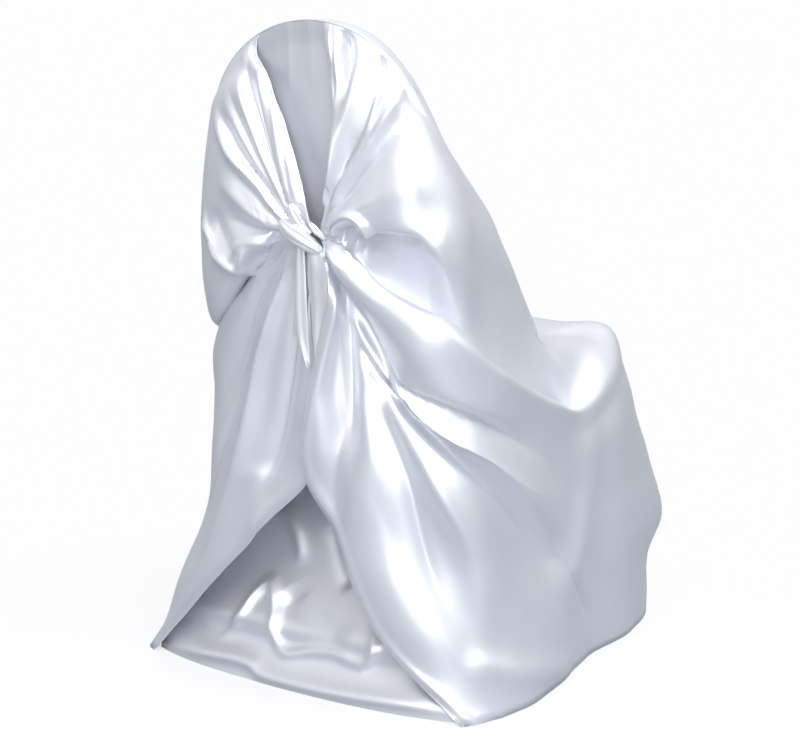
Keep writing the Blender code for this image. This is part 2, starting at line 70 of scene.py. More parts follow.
# The main lines of the cloth from the hem up. A row is: share of the way from the
# middle of the front to a wing's free edge, distance out from the middle, y, height.
FRONT_LINES = {
    "hem": ((0.00, 0.000, -0.330, 0.000), (0.20, 0.140, -0.330, 0.000), (0.34, 0.262, -0.296, 0.000),
            (0.42, 0.290, -0.174, 0.000), (0.50, 0.290, -0.050, 0.000)),
    "low": ((0.00, 0.000, -0.318, 0.090), (0.20, 0.140, -0.318, 0.090), (0.34, 0.262, -0.294, 0.095),
            (0.42, 0.290, -0.172, 0.095), (0.50, 0.288, -0.045, 0.100)),
    "skirt": ((0.00, 0.000, -0.306, 0.180), (0.20, 0.140, -0.308, 0.180), (0.34, 0.284, -0.298, 0.165),
              (0.42, 0.296, -0.170, 0.180), (0.50, 0.286, -0.040, 0.195)),
    "wing": ((0.00, 0.000, -0.290, 0.290), (0.20, 0.140, -0.292, 0.290), (0.34, 0.264, -0.284, 0.260),
             (0.42, 0.288, -0.170, 0.270), (0.50, 0.282, -0.035, 0.260)),
    "crease": ((0.00, 0.000, -0.280, 0.390), (0.20, 0.140, -0.282, 0.390), (0.34, 0.240, -0.264, 0.370),
               (0.42, 0.281, -0.160, 0.345), (0.50, 0.281, -0.030, 0.310)),
    "rim": ((0.00, 0.000, -0.245, 0.472), (0.20, 0.130, -0.245, 0.472), (0.34, 0.222, -0.228, 0.468),
            (0.42, 0.266, -0.145, 0.420), (0.50, 0.272, -0.035, 0.378)),
    "dip": ((0.00, 0.000, -0.100, 0.468), (0.20, 0.120, -0.120, 0.466), (0.34, 0.172, -0.165, 0.462),
            (0.42, 0.222, -0.135, 0.452), (0.50, 0.250, -0.035, 0.360)),
    "wall": ((0.00, 0.000, 0.000, 0.474), (0.20, 0.115, -0.030, 0.474), (0.34, 0.176, -0.070, 0.470),
             (0.42, 0.206, -0.070, 0.464), (0.50, 0.224, -0.025, 0.430)),
    "lip": ((0.00, 0.000, 0.070, 0.500), (0.20, 0.110, 0.040, 0.505), (0.34, 0.175, 0.000, 0.500),
            (0.42, 0.198, -0.020, 0.495), (0.50, 0.205, -0.010, 0.500)),
    "breast": ((0.00, 0.000, 0.130, 0.660), (0.20, 0.100, 0.115, 0.660), (0.34, 0.165, 0.095, 0.660),
               (0.42, 0.188, 0.085, 0.660), (0.50, 0.197, 0.100, 0.660)),
    "top": ((0.00, 0.000, 0.180, 0.800), (0.20, 0.090, 0.180, 0.800), (0.34, 0.140, 0.180, 0.790),
            (0.42, 0.168, 0.185, 0.780), (0.50, 0.186, 0.200, 0.770)),
}
RIGHT_LINES = {
    "hem": ((0.58, 0.311, 0.079, 0.000), (0.66, 0.318, 0.168, 0.000), (0.74, 0.311, 0.228, 0.000),
            (0.84, 0.303, 0.255, 0.000), (0.93, 0.294, 0.280, 0.000), (1.00, 0.283, 0.301, 0.000)),
    "low": ((0.58, 0.303, 0.085, 0.100), (0.66, 0.300, 0.190, 0.100), (0.74, 0.272, 0.258, 0.100),
            (0.84, 0.236, 0.289, 0.100), (0.93, 0.193, 0.303, 0.100), (1.00, 0.150, 0.307, 0.100)),
    "skirt": ((0.58, 0.280, 0.100, 0.200), (0.66, 0.268, 0.215, 0.225), (0.74, 0.222, 0.277, 0.235),
              (0.84, 0.165, 0.300, 0.240), (0.93, 0.112, 0.308, 0.240), (1.00, 0.072, 0.309, 0.235)),
    "wing": ((0.58, 0.274, 0.110, 0.245), (0.66, 0.256, 0.232, 0.300), (0.74, 0.200, 0.285, 0.325),
             (0.84, 0.128, 0.305, 0.340), (0.93, 0.066, 0.312, 0.340), (1.00, 0.021, 0.309, 0.320)),
    "crease": ((0.58, 0.272, 0.115, 0.290), (0.66, 0.244, 0.228, 0.365), (0.74, 0.185, 0.270, 0.430),
               (0.84, 0.128, 0.276, 0.515), (0.93, 0.094, 0.292, 0.575), (1.00, 0.072, 0.312, 0.592)),
    "rim": ((0.58, 0.270, 0.090, 0.405), (0.66, 0.266, 0.215, 0.466), (0.74, 0.222, 0.280, 0.530),
            (0.84, 0.148, 0.298, 0.587), (0.93, 0.094, 0.303, 0.630), (1.00, 0.053, 0.302, 0.640)),
    "dip": ((0.58, 0.250, 0.080, 0.380), (0.66, 0.240, 0.190, 0.440), (0.74, 0.192, 0.240, 0.500),
            (0.84, 0.130, 0.264, 0.565), (0.93, 0.087, 0.290, 0.631), (1.00, 0.051, 0.301, 0.642)),
    "wall": ((0.58, 0.232, 0.100, 0.470), (0.66, 0.240, 0.228, 0.545), (0.74, 0.196, 0.258, 0.602),
             (0.84, 0.142, 0.270, 0.622), (0.93, 0.089, 0.292, 0.644), (1.00, 0.051, 0.302, 0.648)),
    "lip": ((0.58, 0.220, 0.130, 0.570), (0.66, 0.244, 0.240, 0.610), (0.74, 0.216, 0.292, 0.640),
            (0.84, 0.152, 0.306, 0.652), (0.93, 0.094, 0.306, 0.656), (1.00, 0.052, 0.302, 0.654)),
    "breast": ((0.58, 0.216, 0.165, 0.665), (0.66, 0.232, 0.235, 0.690), (0.74, 0.205, 0.290, 0.700),
               (0.84, 0.148, 0.308, 0.700), (0.93, 0.095, 0.306, 0.712), (1.00, 0.064, 0.303, 0.720)),
    "top": ((0.58, 0.194, 0.225, 0.780), (0.66, 0.186, 0.258, 0.800), (0.74, 0.160, 0.281, 0.820),
            (0.84, 0.118, 0.290, 0.840), (0.93, 0.080, 0.288, 0.852), (1.00, 0.053, 0.284, 0.860)),
}
LEFT_LINES = {
    "hem": ((0.58, 0.308, 0.090, 0.000), (0.66, 0.312, 0.180, 0.000), (0.74, 0.303, 0.238, 0.000),
            (0.84, 0.296, 0.268, 0.000), (0.93, 0.288, 0.290, 0.000), (1.00, 0.276, 0.308, 0.000)),
    "low": ((0.58, 0.298, 0.090, 0.100), (0.66, 0.285, 0.190, 0.100), (0.74, 0.262, 0.250, 0.100),
            (0.84, 0.238, 0.285, 0.100), (0.93, 0.208, 0.302, 0.100), (1.00, 0.178, 0.306, 0.100)),
    "skirt": ((0.58, 0.272, 0.100, 0.215), (0.66, 0.238, 0.200, 0.230), (0.74, 0.200, 0.255, 0.235),
              (0.84, 0.165, 0.287, 0.235), (0.93, 0.110, 0.300, 0.235), (1.00, 0.048, 0.302, 0.235)),
    "wing": ((0.58, 0.262, 0.110, 0.270), (0.66, 0.225, 0.205, 0.310), (0.74, 0.190, 0.255, 0.320),
             (0.84, 0.145, 0.282, 0.325), (0.93, 0.060, 0.291, 0.325), (1.00, -0.030, 0.289, 0.325)),
    "crease": ((0.58, 0.258, 0.110, 0.330), (0.66, 0.215, 0.210, 0.380), (0.74, 0.172, 0.262, 0.440),
               (0.84, 0.098, 0.284, 0.510), (0.93, 0.030, 0.291, 0.570), (1.00, -0.030, 0.293, 0.610)),
    "rim": ((0.58, 0.262, 0.090, 0.400), (0.66, 0.222, 0.200, 0.440), (0.74, 0.168, 0.262, 0.500),
            (0.84, 0.095, 0.283, 0.565), (0.93, 0.030, 0.293, 0.618), (1.00, -0.031, 0.300, 0.633)),
    "dip": ((0.58, 0.238, 0.080, 0.392), (0.66, 0.202, 0.180, 0.450), (0.74, 0.152, 0.242, 0.535),
            (0.84, 0.086, 0.272, 0.595), (0.93, 0.026, 0.291, 0.637), (1.00, -0.032, 0.301, 0.643)),
    "wall": ((0.58, 0.226, 0.110, 0.450), (0.66, 0.198, 0.206, 0.480), (0.74, 0.148, 0.254, 0.524),
             (0.84, 0.083, 0.277, 0.592), (0.93, 0.028, 0.295, 0.643), (1.00, -0.033, 0.302, 0.650)),
    "lip": ((0.58, 0.218, 0.140, 0.500), (0.66, 0.202, 0.226, 0.502), (0.74, 0.152, 0.290, 0.522),
            (0.84, 0.084, 0.306, 0.592), (0.93, 0.030, 0.305, 0.648), (1.00, -0.034, 0.302, 0.656)),
    "breast": ((0.58, 0.206, 0.170, 0.620), (0.66, 0.206, 0.235, 0.620), (0.74, 0.176, 0.284, 0.630),
               (0.84, 0.100, 0.307, 0.670), (0.93, 0.040, 0.306, 0.708), (1.00, -0.016, 0.303, 0.722)),
    "top": ((0.58, 0.190, 0.220, 0.770), (0.66, 0.182, 0.250, 0.795), (0.74, 0.160, 0.274, 0.820),
            (0.84, 0.125, 0.287, 0.842), (0.93, 0.088, 0.288, 0.855), (1.00, 0.055, 0.284, 0.865)),
}

# Folds that run out from the knot. A row is: side, how far the fold stands out, its
# half width in degrees (or two, for the flank above and the one below), how full it is
# (1 is a crease, 2 a round fold, 3 a roll), and its path as distance from the knot and
# angle above level.
FOLDS = (
    ("left", 0.005, 2.6, 1.8, ((0.03, 66), (0.15, 68), (0.34, 71))),
    ("left", -0.0035, 0.7, 1.5, ((0.05, 70), (0.15, 71), (0.33, 73.5))),
    ("left", -0.0035, 0.7, 1.5, ((0.05, 66), (0.15, 67), (0.33, 69))),
    ("left", 0.004, 1.1, 1.5, ((0.05, 63), (0.15, 64), (0.30, 65))),
    ("left", -0.012, (2.6, 1.2), 1.3, ((0.03, 56), (0.12, 60), (0.30, 58.5))),
    ("left", 0.006, 1.3, 1.5, ((0.05, 55), (0.14, 57), (0.27, 56))),
    ("left", -0.005, 1.0, 1.3, ((0.07, 51), (0.15, 53), (0.26, 52))),
    ("left", 0.005, 1.4, 1.5, ((0.06, 48), (0.15, 50), (0.25, 49))),
    ("left", -0.013, (4.5, 1.3), 1.4, ((0.03, 40), (0.089, 44), (0.148, 43.5), (0.25, 44.5))),
    ("left", 0.009, 1.7, 1.6, ((0.04, 35), (0.089, 41), (0.148, 40), (0.25, 42))),
    ("left", -0.006, 3.0, 1.5, ((0.04, 27), (0.10, 33), (0.18, 34))),
    ("left", 0.006, 4.0, 1.8, ((0.05, 10), (0.109, 20), (0.142, 24), (0.18, 25))),
    ("left", -0.012, 6.0, 1.5, ((0.03, 2), (0.08, 6), (0.15, 10))),
    ("left", 0.008, 7.0, 1.8, ((0.05, -6), (0.12, -10), (0.18, -14))),
    ("left", -0.014, 5.0, 1.8, ((0.06, -18), (0.12, -34), (0.20, -45), (0.38, -50))),
    ("left", 0.008, (2.0, 4.0), 1.6, ((0.03, -34), (0.080, -47), (0.118, -53.4), (0.156, -57),
                                      (0.19, -58.8), (0.226, -61), (0.298, -64.6), (0.45, -68))),
    ("left", 0.011, (2.0, 4.0), 1.6, ((0.12, -53.6), (0.156, -57), (0.19, -58.8), (0.226, -61),
                                      (0.298, -64.6), (0.45, -68), (0.60, -68))),
    ("left", -0.012, 2.0, 1.4, ((0.05, -70), (0.145, -74), (0.215, -75.5), (0.316, -76),
                                (0.45, -74))),
    ("left", -0.009, (1.6, 4.0), 1.5, ((0.24, -54), (0.34, -57), (0.46, -57.5), (0.56, -55))),
    ("left", 0.007, 3.2, 2.0, ((0.08, -81), (0.18, -82), (0.30, -82))),
    ("right", 0.012, (5.0, 1.8), 1.7, ((0.045, 55), (0.091, 62), (0.140, 66), (0.179, 66),
                                       (0.30, 67))),
    ("right", -0.013, 1.8, 1.2, ((0.06, 51), (0.086, 53.5), (0.123, 57.6), (0.174, 58),
                                 (0.224, 59.1), (0.31, 61))),
    ("right", 0.008, 1.3, 1.5, ((0.08, 51), (0.12, 54.5), (0.177, 55.4), (0.219, 57), (0.29, 57))),
    ("right", -0.009, 1.2, 1.3, ((0.12, 53), (0.177, 53.7), (0.219, 54), (0.28, 53))),
    ("right", 0.008, 1.8, 1.5, ((0.08, 48.5), (0.13, 51.5), (0.168, 52), (0.202, 51.3),
                                (0.236, 50), (0.30, 48.5))),
    ("right", -0.010, 4.0, 1.6, ((0.06, 40), (0.16, 45), (0.27, 42))),
    ("right", 0.008, 10.0, 1.8, ((0.06, 22), (0.16, 24), (0.26, 26))),
    ("right", 0.012, 7.5, 2.8, ((0.05, -24), (0.10, -33), (0.16, -34), (0.25, -34), (0.36, -33.5))),
    ("right", -0.020, 1.7, 1.4, ((0.05, -38), (0.092, -46), (0.15, -48.5), (0.212, -50.5),
                                 (0.30, -53))),
    ("right", -0.018, (1.2, 1.6), 1.5, ((0.25, -48), (0.305, -43.5), (0.374, -39.2),
                                        (0.451, -36.2), (0.55, -35))),
    ("right", 0.004, (6.0, 1.6), 1.9, ((0.27, -44), (0.305, -40.5), (0.374, -36), (0.451, -33.3),
                                       (0.55, -31.5))),
    ("right", 0.021, (6.0, 1.1), 2.1, ((0.17, -54), (0.234, -52.2), (0.291, -49.7),
                                       (0.349, -46.9), (0.416, -45.0), (0.493, -44.0),
                                       (0.70, -43.2))),
    ("right", 0.016, (6.5, 1.1), 2.1, ((0.33, -47.8), (0.416, -45.0), (0.493, -44.0),
                                       (0.70, -43.2))),
    ("right", -0.015, (1.3, 2.0), 1.6, ((0.20, -55), (0.271, -52.9), (0.301, -51.7),
                                        (0.330, -50.0), (0.386, -48.0), (0.424, -46.8),
                                        (0.50, -45.4), (0.70, -44.4))),
    ("right", 0.005, 1.2, 1.6, ((0.26, -54.5), (0.38, -50.7), (0.439, -48.3), (0.468, -47.0),
                                (0.505, -46.2), (0.70, -45.2))),
    ("right", 0.014, 5.0, 2.8, ((0.04, -36), (0.093, -59), (0.136, -74), (0.194, -82),
                                (0.251, -85), (0.34, -88))),
    ("right", -0.016, 3.6, 1.7, ((0.08, -50), (0.111, -53), (0.169, -63), (0.253, -72.5),
                                 (0.34, -76))),
    ("right", 0.012, 6.0, 2.2, ((0.19, -61), (0.23, -64), (0.29, -69), (0.39, -76), (0.49, -74),
                                (0.60, -69), (0.70, -66))),
    ("right", -0.010, 3.0, 1.5, ((0.26, -77), (0.335, -81), (0.46, -82))),
    ("right", -0.012, 3.6, 1.6, ((0.20, -56), (0.36, -61.5), (0.44, -64), (0.53, -64.5),
                                 (0.64, -62))),
    ("right", 0.014, (6.5, 3.0), 2.0, ((0.34, -57), (0.43, -55.5), (0.483, -55.5), (0.54, -56.5),
                                       (0.64, -59))),
    ("right", 0.015, (6.0, 3.0), 2.0, ((0.24, -58), (0.33, -57), (0.377, -56), (0.43, -55.5),
                                       (0.483, -55.5), (0.54, -56.5), (0.62, -59))),
)

# Near the knot a fold keeps at least this half width. It rises and sinks between these
# shares of the distances at which its path begins and ends.
FOLD_NEAR_WIDTH = 0.0045
LEAST_REACH = 0.01
FOLD_RISES = (0.4, 1.5)
FOLD_SINKS = (0.72, 1.04)

# Where the cloth is folded: behind this y, and below the seat further round the sides,
# but not on the front of the crown.
REAR_DEPTHS = (0.10, 0.20)
FOLDS_ROUND_SIDE = 0.20
SEAT_HEIGHTS = (0.47, 0.56)
SIDE_WIDTHS = (0.16, 0.21)
HOOD_HEIGHTS = (0.60, 0.70)
PAST_FOOT = (-0.01, 0.05)

# How much the way round the side counts in the distance from the knot
SIDE_SHARE = 0.9

# Fine gathers that fan out from the knot: folds in a full turn, share of the gathers'
# height, and where in the turn they begin, in degrees.
GATHERS = ((58, 1.0, 20.0), (91, 0.7, 75.0), (133, 0.45, 140.0))
GATHER_HEIGHT = 0.0007
GATHERS_RISE = (0.015, 0.025)
GATHERS_SINK = (0.05, 0.17)

# Folds that curl or run across the others. A row is: side, how far the fold stands out,
# its half width in metres, and its path as distance from the knot and angle above level.
CURLS = (
    ("left", 0.010, 0.0055, ((0.205, 10), (0.192, 2), (0.167, -7), (0.149, -15), (0.127, -24),
                             (0.108, -17), (0.095, -8))),
    ("left", -0.010, 0.011, ((0.175, 10), (0.155, 1), (0.135, -8), (0.120, -13))),
    ("left", 0.007, 0.024, ((0.34, -73), (0.38, -75), (0.42, -77), (0.46, -78.5))),
    ("right", 0.011, 0.0050, ((0.042, 4), (0.057, 16), (0.075, 21), (0.094, 20), (0.107, 13),
                              (0.109, 5), (0.101, -2), (0.087, -5))),
    ("right", -0.020, 0.0080, ((0.056, 4), (0.075, 9), (0.093, 7))),
    ("right", -0.018, 0.010, ((0.070, -7), (0.10, -2.5), (0.144, -0.5), (0.205, -1.5))),
    ("right", 0.006, 0.018, ((0.21, 8), (0.223, -2), (0.239, -10), (0.244, -20), (0.226, -29))),
    ("right", -0.022, 0.011, ((0.33, 75.5), (0.28, 74.5), (0.245, 73), (0.180, 72))),
    ("right", -0.004, 0.003, ((0.31, 80), (0.245, 78), (0.206, 76.5), (0.16, 75))),
    ("right", 0.010, 0.022, ((0.14, -24.2), (0.244, -26.8), (0.30, -27.8), (0.364, -28.4),
                             (0.43, -28.5), (0.496, -28.0), (0.56, -26.8), (0.62, -25.2))),
    ("right", 0.007, 0.0060, ((0.14, -24.2), (0.244, -27.4), (0.30, -28.5), (0.364, -29.1),
                              (0.43, -29.2), (0.496, -28.6), (0.56, -27.3), (0.62, -25.5))),
    ("right", -0.006, 0.006, ((0.43, -15), (0.501, -18.4), (0.549, -20.9), (0.582, -23.1),
                              (0.604, -26.5))),
    ("right", 0.003, 0.006, ((0.278, -47), (0.292, -46.5), (0.310, -44.5))),
    ("right", 0.010, 0.018, ((0.62, -65), (0.66, -61), (0.706, -57.3), (0.767, -53), (0.82, -50))),
    ("right", -0.006, 0.005, ((0.59, -42.6), (0.656, -43.6), (0.723, -44.2), (0.803, -44.9),
                              (0.876, -46.0))),
    ("right", 0.013, 0.036, ((0.655, -22), (0.674, -28), (0.690, -33), (0.705, -38), (0.71, -43),
                             (0.72, -49))),
)
ROUTE_STEPS = 42
ROUTE_TAPER = 0.2
CURL_FULLNESS = 1.7

# Folds of the rear panel. A row is: how far the fold stands out, its half width, and its
# path as x and height above the floor.
PANEL_FOLDS = (
    (0.011, 0.008, ((0.160, 0.034), (0.138, 0.049), (0.118, 0.080), (0.110, 0.105),
                    (0.092, 0.124), (0.076, 0.112), (0.060, 0.088), (0.048, 0.056),
                    (0.021, 0.042), (-0.018, 0.050), (-0.062, 0.054), (-0.108, 0.050),
                    (-0.124, 0.068), (-0.116, 0.088), (-0.095, 0.098))),
    (-0.009, 0.020, ((0.055, 0.125), (0.030, 0.092), (-0.020, 0.082), (-0.085, 0.068))),
    (0.012, 0.009, ((0.285, 0.004), (0.180, 0.017), (0.107, 0.023), (0.072, 0.021),
                    (0.038, 0.012), (-0.073, 0.012), (-0.203, 0.016), (-0.275, 0.010))),
    (0.007, 0.012, ((0.10, 0.24), (0.06, 0.20), (0.04, 0.15))),
    (-0.006, 0.012, ((0.0, 0.22), (-0.02, 0.17), (-0.05, 0.13))),
    (0.0012, 0.007, ((0.030, 0.960), (0.030, 0.890), (0.029, 0.830))),
    (0.0008, 0.007, ((-0.006, 0.960), (-0.007, 0.890), (-0.009, 0.830))),
)

# How the cloth rolls at the wings' free edges, the distances from the knot between which
# the roll begins, and the cloth's turned edge.
EDGE_CREST = 0.003
EDGE_CREST_PLACE = 0.016
EDGE_CREST_WIDTH = 0.010
EDGE_TUCK = 0.005
EDGE_TUCK_WIDTH = 0.012
EDGE_FROM_KNOT = (0.03, 0.07)
TURN_RADIUS = 0.0007
TURN_DEPTH = 0.008
HEM_DEPTH = 0.014

# Slow waves of the loose satin: height, and waves per metre
SLACK = ((0.0030, 9.0), (0.0013, 21.0))
SLACK_PLACE = (4.2, 8.4, 12.6)

# The rear panel from the crown to the hem: height, how far it reaches to the left
# and to the right, and its y in the middle and at its sides.
PANEL_SECTIONS = (
    (0.905, 0.104, 0.046, 0.262, 0.257),
    (0.850, 0.098, 0.062, 0.262, 0.255),
    (0.750, 0.048, 0.080, 0.264, 0.260),
    (0.650, 0.010, 0.080, 0.266, 0.262),
    (0.550, 0.040, 0.090, 0.244, 0.240),
    (0.420, 0.110, 0.110, 0.216, 0.214),
    (0.300, 0.160, 0.150, 0.204, 0.204),
    (0.200, 0.200, 0.200, 0.218, 0.214),
    (0.135, 0.230, 0.230, 0.236, 0.226),
    (0.100, 0.242, 0.242, 0.262, 0.244),
    (0.075, 0.252, 0.252, 0.284, 0.258),
    (0.050, 0.260, 0.260, 0.284, 0.264),
    (0.020, 0.268, 0.270, 0.310, 0.284),
    (0.000, 0.272, 0.273, 0.322, 0.289),
)
PANEL_COLUMNS = 200
PANEL_ROWS = 260

# The power of the distance out by which the panel bends back at its sides, and the
# heights from which it follows the arch and the crown seam.
PANEL_BEND = 3
PANEL_ARCH_FROM = 0.80
PANEL_SEAM_FROM = 0.875

# The sash's two ends below the knot: height, x of the left and right edges, y.
TAILS = {
    "sash_end_left": ((0.6300, -0.014, -0.0290, 0.3070), (0.590, -0.010, -0.0295, 0.3056),
                      (0.545, -0.007, -0.0310, 0.3056), (0.500, -0.012, -0.0330, 0.3050),
                      (0.463, -0.031, -0.0345, 0.3030)),
    "sash_end_right": ((0.6300, -0.033, -0.0570, 0.3070), (0.603, -0.034, -0.0710, 0.3090),
                       (0.585, -0.034, -0.0690, 0.3085), (0.545, -0.036, -0.0640, 0.3050),
                       (0.500, -0.038, -0.0560, 0.3035), (0.462, -0.043, -0.0470, 0.3020)),
}
TAIL_ARCH = 0.005
TAIL_PLEAT = 0.0010
TAIL_PLEATS = 1.4
TAIL_PLEAT_LEAN = 6.0
TAIL_COLUMNS = 36
TAIL_ROWS = 70

# The knot's wraps: path above the floor, radius along it, how deep they are for their
# width, number of pleats, depth of the pleats, and twist in radians.
KNOT_WRAPS = (
    (((0.010, 0.3035, 0.6640), (0.002, 0.3110, 0.6590), (-0.014, 0.3160, 0.6500),
      (-0.034, 0.3160, 0.6400), (-0.050, 0.3090, 0.6290), (-0.057, 0.3035, 0.6210)),
     (0.0060, 0.0100, 0.0128, 0.0122, 0.0090, 0.0040), 0.85, 7, 0.12, 0.8),
    (((-0.003, 0.3035, 0.6900), (-0.010, 0.3090, 0.6800), (-0.019, 0.3120, 0.6690),
      (-0.027, 0.3100, 0.6590)),
     (0.0040, 0.0078, 0.0088, 0.0065), 0.80, 7, 0.20, 1.2),
    (((-0.016, 0.3060, 0.6720), (-0.022, 0.3095, 0.6640), (-0.030, 0.3105, 0.6560),
      (-0.038, 0.3060, 0.6490)),
     (0.0030, 0.0050, 0.0058, 0.0040), 0.85, 5, 0.20, -2.0),
    (((-0.034, 0.3040, 0.6650), (-0.042, 0.3085, 0.6600), (-0.052, 0.3085, 0.6520),
      (-0.061, 0.3040, 0.6430)),
     (0.0020, 0.0044, 0.0046, 0.0025), 0.80, 7, 0.24, 3.0),
)
WRAP_RINGS = 60
WRAP_SIDES = 64

# How the wraps' pleats wander: by how much, and its turn along the wrap. How uneven and
# crinkled their surface is: by how much, then waves round the wrap and their turn along it.
WRAP_WANDER = (0.5, 5.0)
WRAP_UNEVEN = (0.06, 3.0, 7.0)
WRAP_CRINKLE = (0.05, 5.0, 17.0, 8.0, -26.0)

# The crown seam's ridge stops short of the arch's feet, and the folds fade towards it
SEAM_RADIUS = 0.0011
SEAM_STOPS_SHORT = 2
SEAM_FADE = 0.022

# The satins: colour, roughness and how much like metal they shine
SATINS = {
    "cover satin": ((0.84, 0.855, 0.905), 0.44, 0.64),
    "panel satin": ((0.82, 0.835, 0.885), 0.42, 0.64),
    "sash satin": ((0.87, 0.885, 0.92), 0.42, 0.62),
}
CLOUD_SCALE = 9.0
CLOUD_DETAIL = 3.0
CLOUD_RANGE = (0.3, 0.7)
CLOUD_SHADE = 0.965
SHEEN_WEIGHT = 0.12
SHEEN_ROUGHNESS = 0.4
WEAVE_SCALE = 900.0
WEAVE_DETAIL = 2.0
WEAVE_STRETCH = (1.0, 1.0, 0.25)
WEAVE_STRENGTH = 0.08
WEAVE_DEPTH = 0.0004

# The photograph's camera, round the chair from its front, the backdrop and the floor
CAMERA_AZIMUTH = 214.0
CAMERA_ELEVATION = 8.7
CAMERA_DISTANCE = 2.5
CAMERA_CENTRE = np.array((0.0, 0.0, 0.46))
CAMERA_SHIFT = (-0.021, -0.053)
CAMERA_LENS = 73.2
SENSOR_WIDTH = 36.0
BACKDROP_COLOUR = (0.985, 0.985, 0.99)
HORIZON_LIGHT = (0.32, 0.335, 0.36)
ZENITH_LIGHT = (0.80, 0.81, 0.84)
FLOOR_COLOUR = (0.93, 0.93, 0.94)
FLOOR_BOUNCE = (0.34, 0.36, 0.39)
FLOOR_ROUGHNESS = 0.7
FLOOR_SIZE = 14.0
FLOOR_NEAR = 0.35
FLOOR_FAR = 1.3
FLOOR_GAP = 0.0006
ZENITH_FROM = 0.75

# The lamps, which all point at LAMP_AIM: name, distance to the picture's right, up and
# towards the camera, size and power.
LAMP_AIM = np.array((0.0, 0.0, 0.5))
LAMPS = (
    ("key", 0.0, 1.35, 2.0, 1.8, 34.0),
    ("front", -0.1, 0.15, 2.9, 1.4, 16.0),
    ("side", 1.7, 1.1, 1.4, 0.9, 7.0),
    ("top", 0.2, 1.9, 0.2, 1.2, 5.0),
)


def smooth(knots, values, at, level=()):
    """Values read from a smooth curve that passes through every row.

    The value columns listed in level start without a slope.
    """
    knots = np.asarray(knots, float)
    values = np.asarray(values, float)
    slopes = np.diff(values, axis=0) / np.diff(knots)[:, None]
    before = np.diff(knots)[:-1, None]
    after = np.diff(knots)[1:, None]
    inner = (slopes[:-1] * after + slopes[1:] * before) / (before + after)
    tangents = np.vstack((slopes[:1], inner, slopes[-1:]))
    tangents[0, list(level)] = 0.0
    span = np.clip(np.searchsorted(knots, at, side="right") - 1, 0, len(knots) - 2)
    length = knots[span + 1] - knots[span]
    t = ((at - knots[span]) / length)[:, None]
    length = length[:, None]
    return ((2 * t**3 - 3 * t**2 + 1) * values[span] + (t**3 - 2 * t**2 + t) * length * tangents[span]
            + (3 * t**2 - 2 * t**3) * values[span + 1] + (t**3 - t**2) * length * tangents[span + 1])


def ramp(value, low, high):
    """0 below low, 1 above high and a smooth rise between."""
    t = np.clip((value - low) / (high - low), 0.0, 1.0)
    return t * t * (3.0 - 2.0 * t)


def unit(vectors):
    """The vectors at length 1."""
    return vectors / np.maximum(np.linalg.norm(vectors, axis=-1, keepdims=True), LEAST_LENGTH)


def crown_points(side):
    """The brow and the crown seam for each column, as distance out, y and height."""
    foot = FOOT_COLUMN[side]
    column = np.arange(HALF_COLUMNS + 1)
    paired = np.where(column <= foot, column, 2 * foot - column)
    share = paired / foot
    front = column <= foot
    angle = np.radians(FOOT_ANGLE[side] * share)
    out = ARCH_HALF_WIDTH * np.sin(angle)
    height = ARCH_FOOT_HEIGHT + (CROWN_HEIGHT - ARCH_FOOT_HEIGHT) * np.cos(angle)
    depth = CROWN_HALF_DEPTH * np.sqrt(np.clip(1.0 - share**2, 0.0, 1.0))
    seam = np.stack((out, CROWN_MIDDLE_Y + depth, height), axis=-1)
    near_foot = share**3
    drop = np.where(front, BROW_DROP["front"], BROW_DROP["hood"]) * (1.0 - near_foot)
    drop = drop + BROW_DROP["foot"] * near_foot
    spread = np.where(front, BROW_SPREAD["front"], BROW_SPREAD["hood"]) * (1.0 - near_foot)
    spread = spread + BROW_SPREAD["foot"] * near_foot
    brow_y = CROWN_MIDDLE_Y + np.where(front, -depth, depth + HOOD_STAND_OFF * (1.0 - near_foot))
    brow = np.stack((out + spread, brow_y, height - drop), axis=-1)
    return brow, seam


def band_line(crease, rim, share, stand):
    """The belly of the taut band, halfway between its lower crease and its rim."""
    middle = 0.5 * (crease + rim)
    outward = middle[:, :2] - np.array(BAND_CENTRE)
    outward /= np.linalg.norm(outward, axis=1, keepdims=True)
    belly = stand * ramp(share, *BAND_GROWS) * (1.0 - BAND_SUNK * ramp(share, *BAND_SINKS))
    middle[:, :2] += outward * belly[:, None]
    return middle


def half_grid(side, rear_lines):
    """One half of the cover as an array of points: line rows by columns."""
    at = np.linspace(0.0, 1.0, HALF_COLUMNS + 1)
    lines = []
    for name, front in FRONT_LINES.items():
        rows = np.array(front + rear_lines[name])
        lines.append(smooth(rows[:, 0], rows[:, 1:], at, level=(1, 2)))
        if name == "rim":
            lines.insert(-1, band_line(lines[-2], lines[-1], at, BAND_BELLY[side]))
    lines.extend(crown_points(side))
    keys = np.stack(lines)
    columns = []
    for column in range(keys.shape[1]):
        points = keys[:, column]
        gaps = np.linalg.norm(np.diff(points, axis=0), axis=1) ** SPACING_POWER
        knots = np.concatenate(((0.0,), np.cumsum(gaps)))
        stops = [np.linspace(knots[i], knots[i + 1], rows, endpoint=False)
                 for i, rows in enumerate(ROWS_TO_NEXT_LINE)]
        columns.append(smooth(knots, points, np.concatenate(stops + [knots[-1:]])))
    grid = np.stack(columns, axis=1)
    if side == "right":
        grid[..., 0] *= -1.0
    return grid


def normals_of(grid):
    """Outward directions of a grid of points."""
    along = np.gradient(grid, axis=1)
    up = np.gradient(grid, axis=0)
    return unit(np.cross(up, along))


